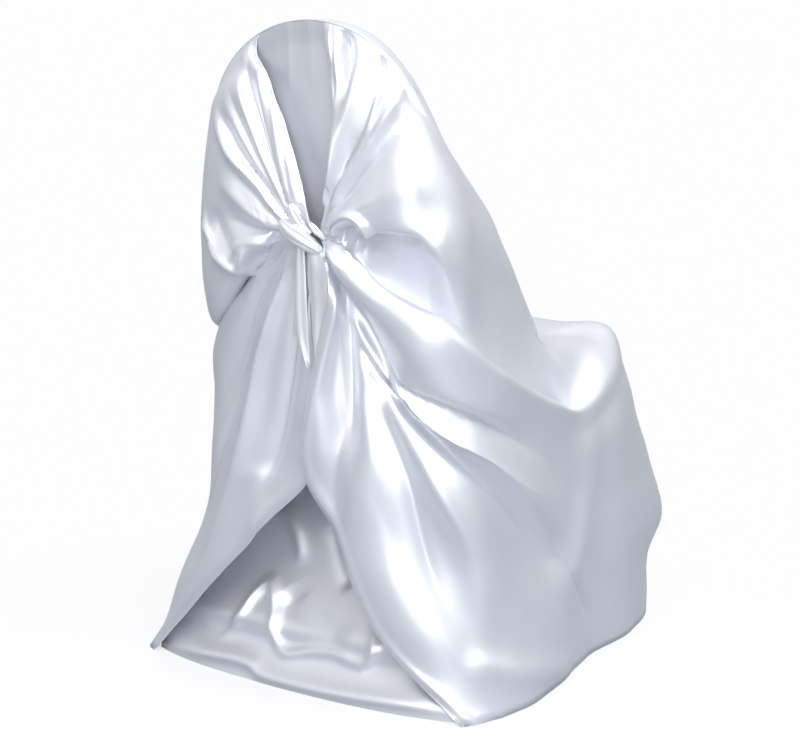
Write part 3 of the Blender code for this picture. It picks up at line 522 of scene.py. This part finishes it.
def around_knot(grid, side):
    """Distance and angle about the knot, measured along the cloth's rear and side."""
    sign = -1.0 if side == "right" else 1.0
    out = sign * (grid[..., 0] - KNOT[0]) + SIDE_SHARE * np.maximum(KNOT[1] - grid[..., 1], 0.0)
    rise = grid[..., 2] - KNOT[2]
    return np.hypot(out, rise), np.degrees(np.arctan2(rise, out))


def route_height(places, stand, half_width, route):
    """The height that a fold along a smooth route gives each place in the route's plane."""
    stops = np.linspace(0.0, 1.0, len(route))
    line = smooth(stops, np.asarray(route, float), np.linspace(0.0, 1.0, ROUTE_STEPS + 1))
    distance = np.full(places.shape[:-1], np.inf)
    share = np.zeros(places.shape[:-1])
    for step in range(ROUTE_STEPS):
        edge = line[step + 1] - line[step]
        offset = places - line[step]
        passed = np.clip((offset @ edge) / (edge @ edge), 0.0, 1.0)
        gap = np.linalg.norm(offset - passed[..., None] * edge, axis=-1)
        share = np.where(gap < distance, (step + passed) / ROUTE_STEPS, share)
        distance = np.minimum(gap, distance)
    taper = ramp(share, 0.0, ROUTE_TAPER) * (1.0 - ramp(share, 1.0 - ROUTE_TAPER, 1.0))
    return stand * taper * np.exp(-(distance / half_width) ** CURL_FULLNESS)


def polar_route(route):
    """A route given by distance and angle, as distances out and up."""
    steps = np.array(route, float)
    turn = np.radians(steps[:, 1])
    return np.stack((steps[:, 0] * np.cos(turn), steps[:, 0] * np.sin(turn)), axis=-1)


def fold_heights(grid, side):
    """How far the folds about the knot push each point of one half outwards."""
    reach, angle = around_knot(grid, side)
    height = np.zeros(reach.shape)
    for fold_side, stand, half_width, fullness, route in FOLDS:
        if fold_side != side:
            continue
        steps = np.array(route)
        centre = smooth(steps[:, 0], steps[:, 1:], np.clip(reach.ravel(), *steps[[0, -1], 0]))
        above, below = half_width if isinstance(half_width, tuple) else (half_width, half_width)
        turn = angle - centre.reshape(reach.shape)
        near = np.degrees(FOLD_NEAR_WIDTH / np.maximum(reach, LEAST_REACH))
        spread = np.hypot(np.where(turn > 0.0, above, below), near)
        across = np.exp(-np.abs(turn / spread) ** fullness)
        rises = ramp(reach, FOLD_RISES[0] * steps[0, 0], FOLD_RISES[1] * steps[0, 0])
        sinks = ramp(reach, FOLD_SINKS[0] * steps[-1, 0], FOLD_SINKS[1] * steps[-1, 0])
        height += stand * across * (rises * (1.0 - sinks))
    envelope = ramp(reach, *GATHERS_RISE) * (1.0 - ramp(reach, *GATHERS_SINK))
    for count, share, start in GATHERS:
        height += GATHER_HEIGHT * share * envelope * np.cos(np.radians(count * angle + start))
    turn = np.radians(angle)
    places = np.stack((reach * np.cos(turn), reach * np.sin(turn)), axis=-1)
    for curl_side, stand, half_width, route in CURLS:
        if curl_side == side:
            height += route_height(places, stand, half_width, polar_route(route))
    return height * folded_share(grid, side)


def folded_share(grid, side):
    """1 where the cloth is folded, 0 on the front and the seat, and smooth between."""
    column = np.arange(HALF_COLUMNS + 1) - FOOT_COLUMN[side]
    past_foot = ramp(column / HALF_COLUMNS, *PAST_FOOT)
    hood = ramp(grid[..., 2], *HOOD_HEIGHTS)
    below_seat = 1.0 - ramp(grid[..., 2], *SEAT_HEIGHTS)
    rounding = FOLDS_ROUND_SIDE * below_seat * ramp(np.abs(grid[..., 0]), *SIDE_WIDTHS)
    return ramp(grid[..., 1] + rounding, *REAR_DEPTHS) * (1.0 - hood * (1.0 - past_foot))


def edge_heights(grid):
    """The roll of the cloth at a wing's free edge, which is the half's last column."""
    steps = np.linalg.norm(np.diff(grid, axis=1), axis=-1)
    inward = np.cumsum(steps[:, ::-1], axis=1)[:, ::-1]
    distance = np.concatenate((inward, np.zeros((grid.shape[0], 1))), axis=1)
    crest = EDGE_CREST * np.exp(-((distance - EDGE_CREST_PLACE) / EDGE_CREST_WIDTH) ** 2)
    tuck = EDGE_TUCK * (1.0 - ramp(distance, 0.0, EDGE_TUCK_WIDTH))
    reach = np.hypot(grid[..., 0] - KNOT[0], grid[..., 2] - KNOT[2])
    return (crest - tuck) * ramp(reach, *EDGE_FROM_KNOT)


def slack_heights(grid):
    """Slow uneven waves of loose cloth."""
    places = [Vector(point) for point in grid.reshape(-1, 3).tolist()]
    offset = Vector(SLACK_PLACE)
    height = np.zeros(len(places))
    for stand, pitch in SLACK:
        height += stand * np.array([noise.noise(place * pitch + offset) for place in places])
    return height.reshape(grid.shape[:2])


def cover_grid():
    """The whole cover from the left wing's free edge round the front to the right one's."""
    halves = {"left": half_grid("left", LEFT_LINES), "right": half_grid("right", RIGHT_LINES)}
    lifts = {side: fold_heights(half, side) + edge_heights(half) for side, half in halves.items()}
    grid = np.concatenate((halves["left"][:, ::-1], halves["right"][:, 1:]), axis=1)
    heights = np.concatenate((lifts["left"][:, ::-1], lifts["right"][:, 1:]), axis=1)
    heights += slack_heights(grid)
    steps = np.linalg.norm(np.diff(grid, axis=0), axis=-1)[::-1]
    below_seam = np.concatenate((np.zeros((1, grid.shape[1])), np.cumsum(steps, axis=0)))[::-1]
    heights *= ramp(below_seam, 0.0, SEAM_FADE)
    grid = grid + normals_of(grid) * heights[..., None]
    reach = np.hypot(grid[..., 0] - KNOT[0], grid[..., 2] - KNOT[2])
    outer = grid[..., 1] > KNOT[1] - KNOT_FLAT_DEPTH
    flat = (1.0 - ramp(reach, KNOT_FLAT, KNOT_FLAT_EDGE)) * outer
    grid[..., 1] += flat * (KNOT[1] - grid[..., 1])
    grid[..., 2] = np.maximum(grid[..., 2], 0.0)
    return grid


def turned(edge, off_edge, outward, depth):
    """Three further lines of points that turn a cloth's edge back inside itself."""
    lip = edge + TURN_RADIUS * (off_edge - outward)
    back = edge - 2.0 * TURN_RADIUS * outward
    return lip, back, back - depth * off_edge


def with_turned_edges(grid):
    """The grid with its hem and its two free edges turned inside."""
    outward = normals_of(grid)
    left = turned(grid[:, 0], unit(grid[:, 0] - grid[:, 1]), outward[:, 0], TURN_DEPTH)
    right = turned(grid[:, -1], unit(grid[:, -1] - grid[:, -2]), outward[:, -1], TURN_DEPTH)
    grid = np.concatenate((np.stack(left[::-1], axis=1), grid, np.stack(right, axis=1)), axis=1)
    outward = normals_of(grid)
    off = unit(grid[0] - grid[1])
    hem = turned(grid[0], off, outward[0], HEM_DEPTH)
    lifted = [line + np.array((0.0, 0.0, TURN_RADIUS)) for line in hem]
    return np.concatenate((np.stack(lifted[::-1]), grid), axis=0)


def mesh_object(name, points, faces, material):
    """A shaded mesh from points above the floor, moved into the model's frame."""
    mesh = bpy.data.meshes.new(name)
    moved = np.asarray(points) - ORIGIN
    mesh.from_pydata([tuple(p) for p in moved.tolist()], [], faces)
    mesh.shade_smooth()
    mesh.materials.append(material)
    piece = bpy.data.objects.new(name, mesh)
    bpy.context.scene.collection.objects.link(piece)
    return piece


def grid_faces(index):
    """Faces between the numbered points of a grid, without repeated corners."""
    faces = []
    for row in range(index.shape[0] - 1):
        for column in range(index.shape[1] - 1):
            corners = (index[row, column], index[row + 1, column],
                       index[row + 1, column + 1], index[row, column + 1])
            face = list(dict.fromkeys(int(corner) for corner in corners))
            if len(face) > 2:
                faces.append(face)
    return faces


def make_cover(material):
    """Front, seat, sides, wings and hood as one sheet, closed along the crown seam."""
    grid = with_turned_edges(cover_grid())
    row_count, column_count = grid.shape[:2]
    index = np.arange(row_count * column_count).reshape(row_count, column_count)
    middle = (column_count - 1) // 2
    for side, sign in (("left", -1), ("right", 1)):
        foot = FOOT_COLUMN[side]
        for column in range(foot, HALF_COLUMNS + 1):
            paired = min(2 * foot - column, foot - 1)
            index[-1, middle + sign * column] = index[-1, middle + sign * paired]
    return mesh_object("cover_cloth", grid.reshape(-1, 3), grid_faces(index), material)


def make_rear_panel(material):
    """The plain panel that hangs from the crown seam behind the wings to the hem."""
    sections = np.array(PANEL_SECTIONS)[::-1]
    top_height = PANEL_SECTIONS[0][0]
    heights = np.linspace(top_height, 0.0, PANEL_ROWS + 1)
    values = smooth(sections[:, 0], sections[:, 1:], heights)
    across = np.linspace(1.0, -1.0, PANEL_COLUMNS + 1)
    rows = []
    for height, (left, right, middle_y, side_y) in zip(heights, values):
        x = np.where(across > 0, across * left, across * right)
        y = middle_y + (side_y - middle_y) * np.abs(across) ** PANEL_BEND
        crown = np.sqrt(np.clip(1.0 - (x / ARCH_HALF_WIDTH) ** 2, 0.0, 1.0))
        turn = np.degrees(np.arcsin(np.clip(np.abs(x) / ARCH_HALF_WIDTH, 0.0, 1.0)))
        share = turn / FOOT_ANGLE["right"]
        seam_depth = CROWN_HALF_DEPTH * np.sqrt(np.clip(1.0 - share**2, 0.0, 1.0))
        top = ramp(height, PANEL_ARCH_FROM, top_height)
        rise = (CROWN_HEIGHT - ARCH_FOOT_HEIGHT) * crown + ARCH_FOOT_HEIGHT - top_height
        y = y + (CROWN_MIDDLE_Y + seam_depth - y) * ramp(height, PANEL_SEAM_FROM, top_height)
        place = np.stack((x, np.full(x.shape, height)), axis=-1)
        for stand, half_width, route in PANEL_FOLDS:
            y = y + route_height(place, stand, half_width, route)
        rows.append(np.stack((x, y, height + rise * top), axis=-1))
    grid = np.stack(rows)
    count = PANEL_COLUMNS + 1
    index = np.arange(grid.shape[0] * count).reshape(grid.shape[0], count)[::-1]
    return mesh_object("rear_panel_cloth", grid.reshape(-1, 3), grid_faces(index), material)


def make_sash_end(name, material):
    """One hanging end of the sash: a narrow strip, bowed outwards along its middle."""
    across = np.linspace(0.0, 1.0, TAIL_COLUMNS + 1)
    sections = np.array(TAILS[name])[::-1]
    heights = np.linspace(sections[0, 0], sections[-1, 0], TAIL_ROWS + 1)
    rows = []
    for height, (left, right, y) in zip(heights, smooth(sections[:, 0], sections[:, 1:], heights)):
        bow = TAIL_ARCH * (1.0 - (2.0 * across - 1.0) ** 2)
        bow = bow + TAIL_PLEAT * np.cos(TAIL_PLEATS * 2.0 * math.pi * across + TAIL_PLEAT_LEAN * height)
        rows.append(np.stack((left + (right - left) * across, y + bow,
                              np.full(TAIL_COLUMNS + 1, height)), axis=-1))
    grid = np.stack(rows)
    index = np.arange(grid.shape[0] * grid.shape[1]).reshape(grid.shape[:2])
    return mesh_object(name + "_cloth", grid.reshape(-1, 3), grid_faces(index), material)


def uneven_radius(turn, along, ridges):
    """Share of its radius that a wrap's surface has at each place of one ring."""
    height, waves, drift = WRAP_UNEVEN
    uneven = 1.0 + height * np.sin(waves * turn + drift * along + ridges)
    height, waves, drift, more_waves, more_drift = WRAP_CRINKLE
    crinkle = np.sin(waves * turn + drift * along)
    crinkle = crinkle * np.sin(more_waves * turn + more_drift * along + ridges)
    return uneven + height * crinkle


def bundle(points, radii, flatness, ridges, ridge_depth, twist):
    """Points and faces of a gathered roll of cloth along a smooth path."""
    stops = np.linspace(0.0, 1.0, len(points))
    at = np.linspace(0.0, 1.0, WRAP_RINGS)
    path = smooth(stops, np.array(points), at)
    radius = smooth(stops, np.array(radii)[:, None], at)[:, 0]
    along = unit(np.gradient(path, axis=0))
    outward = np.array((0.0, 1.0, 0.0))
    side = unit(np.cross(along, outward))
    front = np.cross(side, along)
    turn = np.linspace(0.0, 2.0 * math.pi, WRAP_SIDES, endpoint=False)
    rows = []
    for ring in range(WRAP_RINGS):
        wander = WRAP_WANDER[0] * math.sin(WRAP_WANDER[1] * at[ring] + ridges)
        pleats = 0.5 + 0.5 * np.cos(ridges * turn + twist * at[ring] + wander)
        uneven = uneven_radius(turn, at[ring], ridges)
        reach = radius[ring] * uneven * (1.0 - ridge_depth * (1.0 - pleats))
        rows.append(path[ring] + np.outer(reach * np.cos(turn), side[ring])
                    + np.outer(reach * np.sin(turn) * flatness, front[ring]))
    grid = np.stack(rows)
    index = np.arange(WRAP_RINGS * WRAP_SIDES).reshape(WRAP_RINGS, WRAP_SIDES)
    closed = np.concatenate((index, index[:, :1]), axis=1)
    faces = grid_faces(closed)
    faces.append([int(number) for number in index[0]])
    faces.append([int(number) for number in index[-1][::-1]])
    return grid.reshape(-1, 3), faces


def make_knot(material):
    """The sash's knot: gathered wraps that cross and tuck under one another."""
    points = []
    faces = []
    for route, radii, flatness, ridges, ridge_depth, twist in KNOT_WRAPS:
        more_points, more_faces = bundle(route, radii, flatness, ridges, ridge_depth, twist)
        faces.extend([[corner + len(points) for corner in face] for face in more_faces])
        points.extend(more_points.tolist())
    return mesh_object("sash_knot_cloth", points, faces, material)


def make_crown_seam(material):
    """The stitched ridge where the front, the hood and the rear panel are sewn together."""
    halves = []
    for side, sign in (("left", 1.0), ("right", -1.0)):
        stop = FOOT_COLUMN[side] - SEAM_STOPS_SHORT * COLUMN_FACTOR
        seam = crown_points(side)[1][:stop:COLUMN_FACTOR]
        seam[:, 0] *= sign
        halves.append((seam - ORIGIN).tolist())
    line = halves[0][::-1] + halves[1][1:]
    curve = bpy.data.curves.new("crown_seam", "CURVE")
    curve.dimensions = "3D"
    curve.bevel_depth = SEAM_RADIUS
    curve.bevel_resolution = 2
    curve.use_fill_caps = True
    spline = curve.splines.new("POLY")
    spline.points.add(len(line) - 1)
    for point, place in zip(spline.points, line):
        point.co = (*place, 1.0)
    curve.materials.append(material)
    seam_object = bpy.data.objects.new("crown_seam", curve)
    bpy.context.scene.collection.objects.link(seam_object)
    return seam_object


def satin(name):
    """Satin with a fine weave, faint colour change and a cool sheen."""
    colour, roughness, metallic = SATINS[name]
    material = bpy.data.materials.new(name)
    material.use_nodes = True
    nodes = material.node_tree.nodes
    links = material.node_tree.links
    shader = nodes["Principled BSDF"]
    place = nodes.new("ShaderNodeTexCoord")
    cloud = nodes.new("ShaderNodeTexNoise")
    cloud.inputs["Scale"].default_value = CLOUD_SCALE
    cloud.inputs["Detail"].default_value = CLOUD_DETAIL
    links.new(place.outputs["Object"], cloud.inputs["Vector"])
    tint = nodes.new("ShaderNodeValToRGB")
    tint.color_ramp.elements[0].position = CLOUD_RANGE[0]
    tint.color_ramp.elements[1].position = CLOUD_RANGE[1]
    tint.color_ramp.elements[0].color = (*(CLOUD_SHADE * channel for channel in colour), 1.0)
    tint.color_ramp.elements[1].color = (*colour, 1.0)
    links.new(cloud.outputs["Fac"], tint.inputs["Fac"])
    links.new(tint.outputs["Color"], shader.inputs["Base Color"])
    shader.inputs["Roughness"].default_value = roughness
    shader.inputs["Metallic"].default_value = metallic
    shader.inputs["Sheen Weight"].default_value = SHEEN_WEIGHT
    shader.inputs["Sheen Roughness"].default_value = SHEEN_ROUGHNESS
    weave = nodes.new("ShaderNodeTexNoise")
    weave.inputs["Scale"].default_value = WEAVE_SCALE
    weave.inputs["Detail"].default_value = WEAVE_DETAIL
    stretch = nodes.new("ShaderNodeMapping")
    stretch.inputs["Scale"].default_value = WEAVE_STRETCH
    links.new(place.outputs["Object"], stretch.inputs["Vector"])
    links.new(stretch.outputs["Vector"], weave.inputs["Vector"])
    bump = nodes.new("ShaderNodeBump")
    bump.inputs["Strength"].default_value = WEAVE_STRENGTH
    bump.inputs["Distance"].default_value = WEAVE_DEPTH
    links.new(weave.outputs["Fac"], bump.inputs["Height"])
    links.new(bump.outputs["Normal"], shader.inputs["Normal"])
    return material


def camera_axes():
    """Unit vectors from the chair to the camera, to the picture's right and up."""
    azimuth = math.radians(CAMERA_AZIMUTH)
    elevation = math.radians(CAMERA_ELEVATION)
    back = np.array((math.sin(azimuth) * math.cos(elevation),
                     -math.cos(azimuth) * math.cos(elevation), math.sin(elevation)))
    right = np.array((math.cos(azimuth), math.sin(azimuth), 0.0))
    return back, right, np.cross(back, right)


def make_camera():
    """The camera at the photograph's angle."""
    back, right, up = camera_axes()
    place = CAMERA_CENTRE + back * CAMERA_DISTANCE - ORIGIN
    aim = CAMERA_CENTRE + right * CAMERA_SHIFT[0] + up * CAMERA_SHIFT[1] - ORIGIN
    data = bpy.data.cameras.new("camera")
    data.lens = CAMERA_LENS
    data.sensor_width = SENSOR_WIDTH
    camera = bpy.data.objects.new("camera", data)
    bpy.context.scene.collection.objects.link(camera)
    camera.location = Vector(place)
    camera.rotation_euler = (Vector(aim) - Vector(place)).to_track_quat("-Z", "Y").to_euler()
    bpy.context.scene.camera = camera


def make_lamp(name, across, up, towards, size, power):
    """A square lamp placed by the picture's right, up and towards the camera."""
    back, right, lift = camera_axes()
    place = LAMP_AIM + right * across + lift * up + back * towards - ORIGIN
    data = bpy.data.lights.new(name, "AREA")
    data.size = size
    data.energy = power
    lamp = bpy.data.objects.new(name, data)
    bpy.context.scene.collection.objects.link(lamp)
    lamp.location = Vector(place)
    aim = Vector(LAMP_AIM - ORIGIN) - lamp.location
    lamp.rotation_euler = aim.to_track_quat("-Z", "Y").to_euler()


def make_floor():
    """A pale floor that fades into the backdrop where the camera sees it far away."""
    half = FLOOR_SIZE / 2.0
    material = bpy.data.materials.new("pale floor")
    material.use_nodes = True
    shader = material.node_tree.nodes["Principled BSDF"]
    shader.inputs["Roughness"].default_value = FLOOR_ROUGHNESS
    nodes = material.node_tree.nodes
    links = material.node_tree.links
    place = nodes.new("ShaderNodeTexCoord")
    length = nodes.new("ShaderNodeVectorMath")
    length.operation = "LENGTH"
    links.new(place.outputs["Object"], length.inputs[0])
    fade = nodes.new("ShaderNodeMapRange")
    fade.interpolation_type = "SMOOTHSTEP"
    fade.inputs["From Min"].default_value = FLOOR_NEAR
    fade.inputs["From Max"].default_value = FLOOR_FAR
    links.new(length.outputs["Value"], fade.inputs["Value"])
    glow = nodes.new("ShaderNodeEmission")
    glow.inputs["Color"].default_value = (*BACKDROP_COLOUR, 1.0)
    path = nodes.new("ShaderNodeLightPath")
    shade = nodes.new("ShaderNodeMix")
    shade.data_type = "RGBA"
    shade.inputs["A"].default_value = (*FLOOR_BOUNCE, 1.0)
    shade.inputs["B"].default_value = (*FLOOR_COLOUR, 1.0)
    links.new(path.outputs["Is Camera Ray"], shade.inputs["Factor"])
    links.new(shade.outputs["Result"], shader.inputs["Base Color"])
    seen = nodes.new("ShaderNodeMath")
    seen.operation = "MULTIPLY"
    links.new(fade.outputs["Result"], seen.inputs[0])
    links.new(path.outputs["Is Camera Ray"], seen.inputs[1])
    blend = nodes.new("ShaderNodeMixShader")
    links.new(seen.outputs["Value"], blend.inputs["Fac"])
    links.new(shader.outputs["BSDF"], blend.inputs[1])
    links.new(glow.outputs["Emission"], blend.inputs[2])
    links.new(blend.outputs["Shader"], nodes["Material Output"].inputs["Surface"])
    corners = [(-half, -half, -FLOOR_GAP), (half, -half, -FLOOR_GAP),
               (half, half, -FLOOR_GAP), (-half, half, -FLOOR_GAP)]
    floor = mesh_object("floor", corners, [(0, 1, 2, 3)], material)


def make_world():
    """A white backdrop, and soft light that is stronger from above than from the side."""
    world = bpy.data.worlds.new("white studio")
    world.use_nodes = True
    nodes = world.node_tree.nodes
    links = world.node_tree.links
    background = nodes["Background"]
    place = nodes.new("ShaderNodeTexCoord")
    split = nodes.new("ShaderNodeSeparateXYZ")
    links.new(place.outputs["Generated"], split.inputs["Vector"])
    sky = nodes.new("ShaderNodeValToRGB")
    sky.color_ramp.interpolation = "B_SPLINE"
    sky.color_ramp.elements[0].position = 0.0
    sky.color_ramp.elements[0].color = (*HORIZON_LIGHT, 1.0)
    sky.color_ramp.elements[1].position = ZENITH_FROM
    sky.color_ramp.elements[1].color = (*ZENITH_LIGHT, 1.0)
    links.new(split.outputs["Z"], sky.inputs["Fac"])
    path = nodes.new("ShaderNodeLightPath")
    mix = nodes.new("ShaderNodeMix")
    mix.data_type = "RGBA"
    links.new(path.outputs["Is Camera Ray"], mix.inputs["Factor"])
    links.new(sky.outputs["Color"], mix.inputs["A"])
    mix.inputs["B"].default_value = (*BACKDROP_COLOUR, 1.0)
    links.new(mix.outputs["Result"], background.inputs["Color"])
    background.inputs["Strength"].default_value = 1.0
    bpy.context.scene.world = world
    bpy.context.scene.view_settings.view_transform = "Standard"


def make_object():
    """Every visible piece, what it replaces and what it rides on."""
    cover_satin = satin("cover satin")
    panel_satin = satin("panel satin")
    sash_satin = satin("sash satin")
    cover = make_cover(cover_satin)
    panel = make_rear_panel(panel_satin)
    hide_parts("cover_body")
    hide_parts("rear_panel")
    pieces = [cover, panel]
    for name in TAILS:
        tail = make_sash_end(name, sash_satin)
        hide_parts(name)
        pieces.append(tail)
    knot = make_knot(sash_satin)
    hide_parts("sash_knot")
    seam = make_crown_seam(cover_satin)
    for piece in pieces + [knot, seam]:
        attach(piece, "root")


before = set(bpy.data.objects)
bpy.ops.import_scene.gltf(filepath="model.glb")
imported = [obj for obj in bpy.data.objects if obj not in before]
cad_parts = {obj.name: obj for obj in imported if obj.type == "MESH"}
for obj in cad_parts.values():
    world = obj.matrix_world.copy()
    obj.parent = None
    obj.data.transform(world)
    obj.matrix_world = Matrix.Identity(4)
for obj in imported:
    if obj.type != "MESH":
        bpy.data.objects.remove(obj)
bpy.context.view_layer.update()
make_camera()
make_object()
make_floor()
make_world()
for lamp_row in LAMPS:
    make_lamp(*lamp_row)
